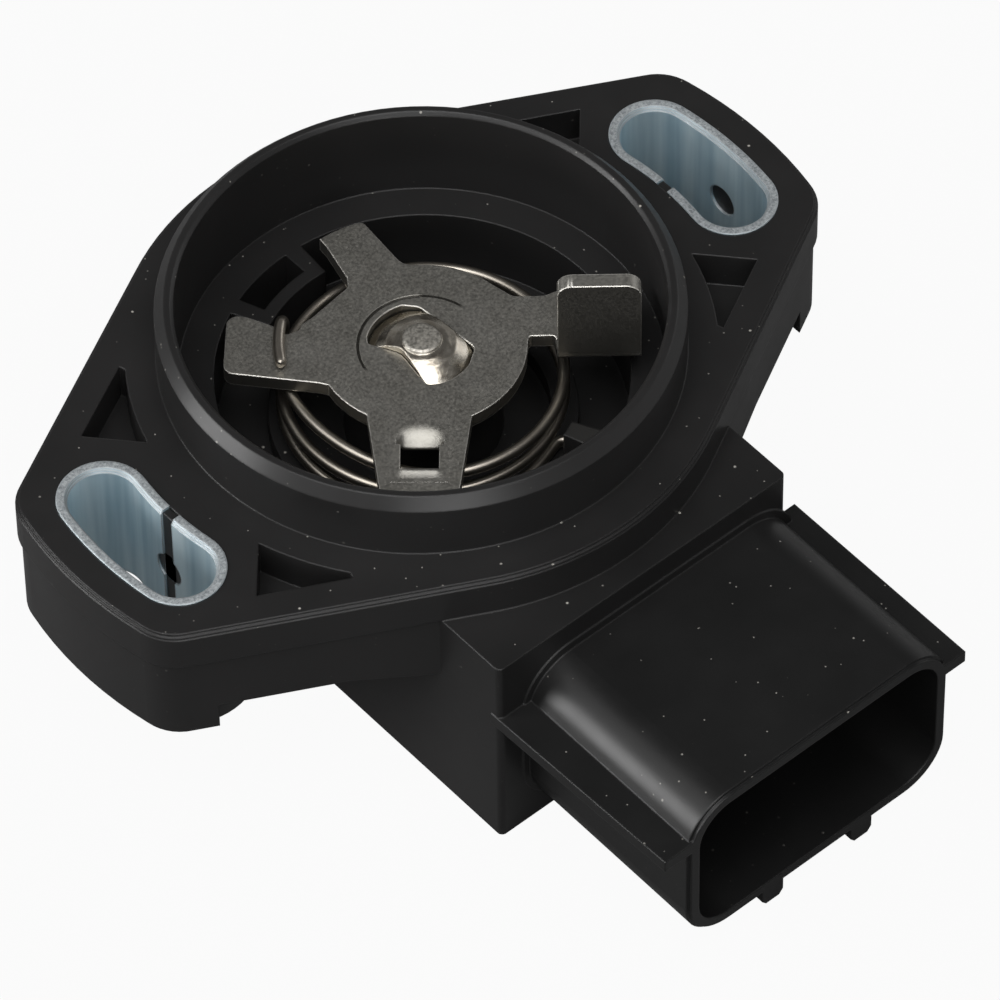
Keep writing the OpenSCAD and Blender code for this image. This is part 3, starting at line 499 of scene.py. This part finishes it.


# Return spring. Drawn spring wire, coiled cold: smooth, and slightly warm in tone from the
# stress-relieving heat. Its leg sits in the well and its hooked end on the lever.
spring = merged_copy("return_spring", "spring_wire")
bpy.ops.object.mode_set(mode="EDIT")
bpy.ops.mesh.select_all(action="SELECT")
bpy.ops.mesh.tris_convert_to_quads(face_threshold=radians(50), shape_threshold=radians(60))
bpy.ops.transform.shrink_fatten(value=-0.00002)
bpy.ops.object.mode_set(mode="OBJECT")
smooth = spring.modifiers.new("round wire", "SUBSURF")
smooth.levels = smooth.render_levels = 2
bpy.ops.object.modifier_apply(modifier=smooth.name)
bpy.ops.object.shade_smooth()
material, tree = new_material("drawn spring wire")
where = add(tree, "ShaderNodeTexCoord").outputs["Object"]
clouds = add(tree, "ShaderNodeTexNoise", {"Vector": where, "Scale": 350.0, "Detail": 4.0})
colour = add(tree, "ShaderNodeMix", {
    factor: clouds, low: linear("#8d857a"), high: linear("#bdb7ad")}, data_type="RGBA")
metal = add(tree, "ShaderNodeBsdfPrincipled", {
    "Base Color": colour, "Metallic": 1.0, "Roughness": 0.34})
add(tree, "ShaderNodeOutputMaterial", {"Surface": metal})
spring.data.materials.append(material)
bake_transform(spring)
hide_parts("return_spring")


# Bearing and washers. A sintered bronze bush, dark with oil, under a rubber lip seal, and a
# white acetal washer that takes the lever's push. The wiper carrier is the same acetal.
def plain_finish(name, dark, light, smoothest, roughest, scale, metallic=0.0, grain=0.2):
    material, tree = new_material(name)
    where = add(tree, "ShaderNodeTexCoord").outputs["Object"]
    clouds = add(tree, "ShaderNodeTexNoise", {"Vector": where, "Scale": scale, "Detail": 5.0})
    colour = add(tree, "ShaderNodeMix", {
        factor: clouds, low: linear(dark), high: linear(light)}, data_type="RGBA")
    gloss = add(tree, "ShaderNodeMapRange", {
        "Value": clouds, "From Min": 0.3, "From Max": 0.7,
        "To Min": smoothest, "To Max": roughest})
    bump = add(tree, "ShaderNodeBump", {
        "Strength": grain, "Distance": 0.00003, "Height": clouds})
    shader = add(tree, "ShaderNodeBsdfPrincipled", {
        "Base Color": colour, "Metallic": metallic, "Roughness": gloss, "Normal": bump})
    add(tree, "ShaderNodeOutputMaterial", {"Surface": shader})
    return material


dress("shaft_bearing", plain_finish(
    "oiled sintered bronze", "#6d4f2c", "#9a7444", 0.35, 0.5, 2500.0, 1.0, 0.4))
nitrile = plain_finish("moulded nitrile rubber", "#1b1715", "#2a2421", 0.55, 0.7, 1800.0)
dress("shaft_seal", nitrile)
dress("cover_gasket", nitrile)
acetal = plain_finish("moulded acetal", "#d6d1c2", "#e8e4d8", 0.35, 0.45, 900.0)
dress("thrust_washer", acetal)
dress("wiper_carrier", acetal)


# Wipers and clips. Springy copper-nickel strip, photo-etched, with a bright rolled face. The
# wipers turn with the carrier, and the clips join the board to the terminals.
strip = plain_finish("copper-nickel strip", "#a9815a", "#cfa57a", 0.22, 0.32, 1200.0, 1.0)
for node in ("outer_wiper", "inner_wiper", "contact_clips"):
    dress(node, strip)


# Resistor board. Green-lacquered laminate that carries a printed carbon track and a silver
# collector ring.
dress("resistor_board", plain_finish(
    "lacquered laminate", "#1f4a2c", "#2c5f39", 0.3, 0.4, 1500.0))
dress("resistor_track", plain_finish(
    "printed carbon ink", "#151517", "#242427", 0.5, 0.65, 3000.0))
dress("collector_track", plain_finish(
    "printed silver ink", "#8e8e88", "#b9b9b2", 0.4, 0.5, 3000.0, 1.0))


# Terminals. Three tin-plated copper blades, moulded through the floor of the socket, where
# they meet the plug's contacts.
tin = plain_finish("tin-plated copper", "#a8a59c", "#d3d0c8", 0.25, 0.38, 1500.0, 1.0)
for node in ("terminal_left", "terminal_middle", "terminal_right"):
    dress(node, tin)

bpy.ops.object.select_all(action="DESELECT")
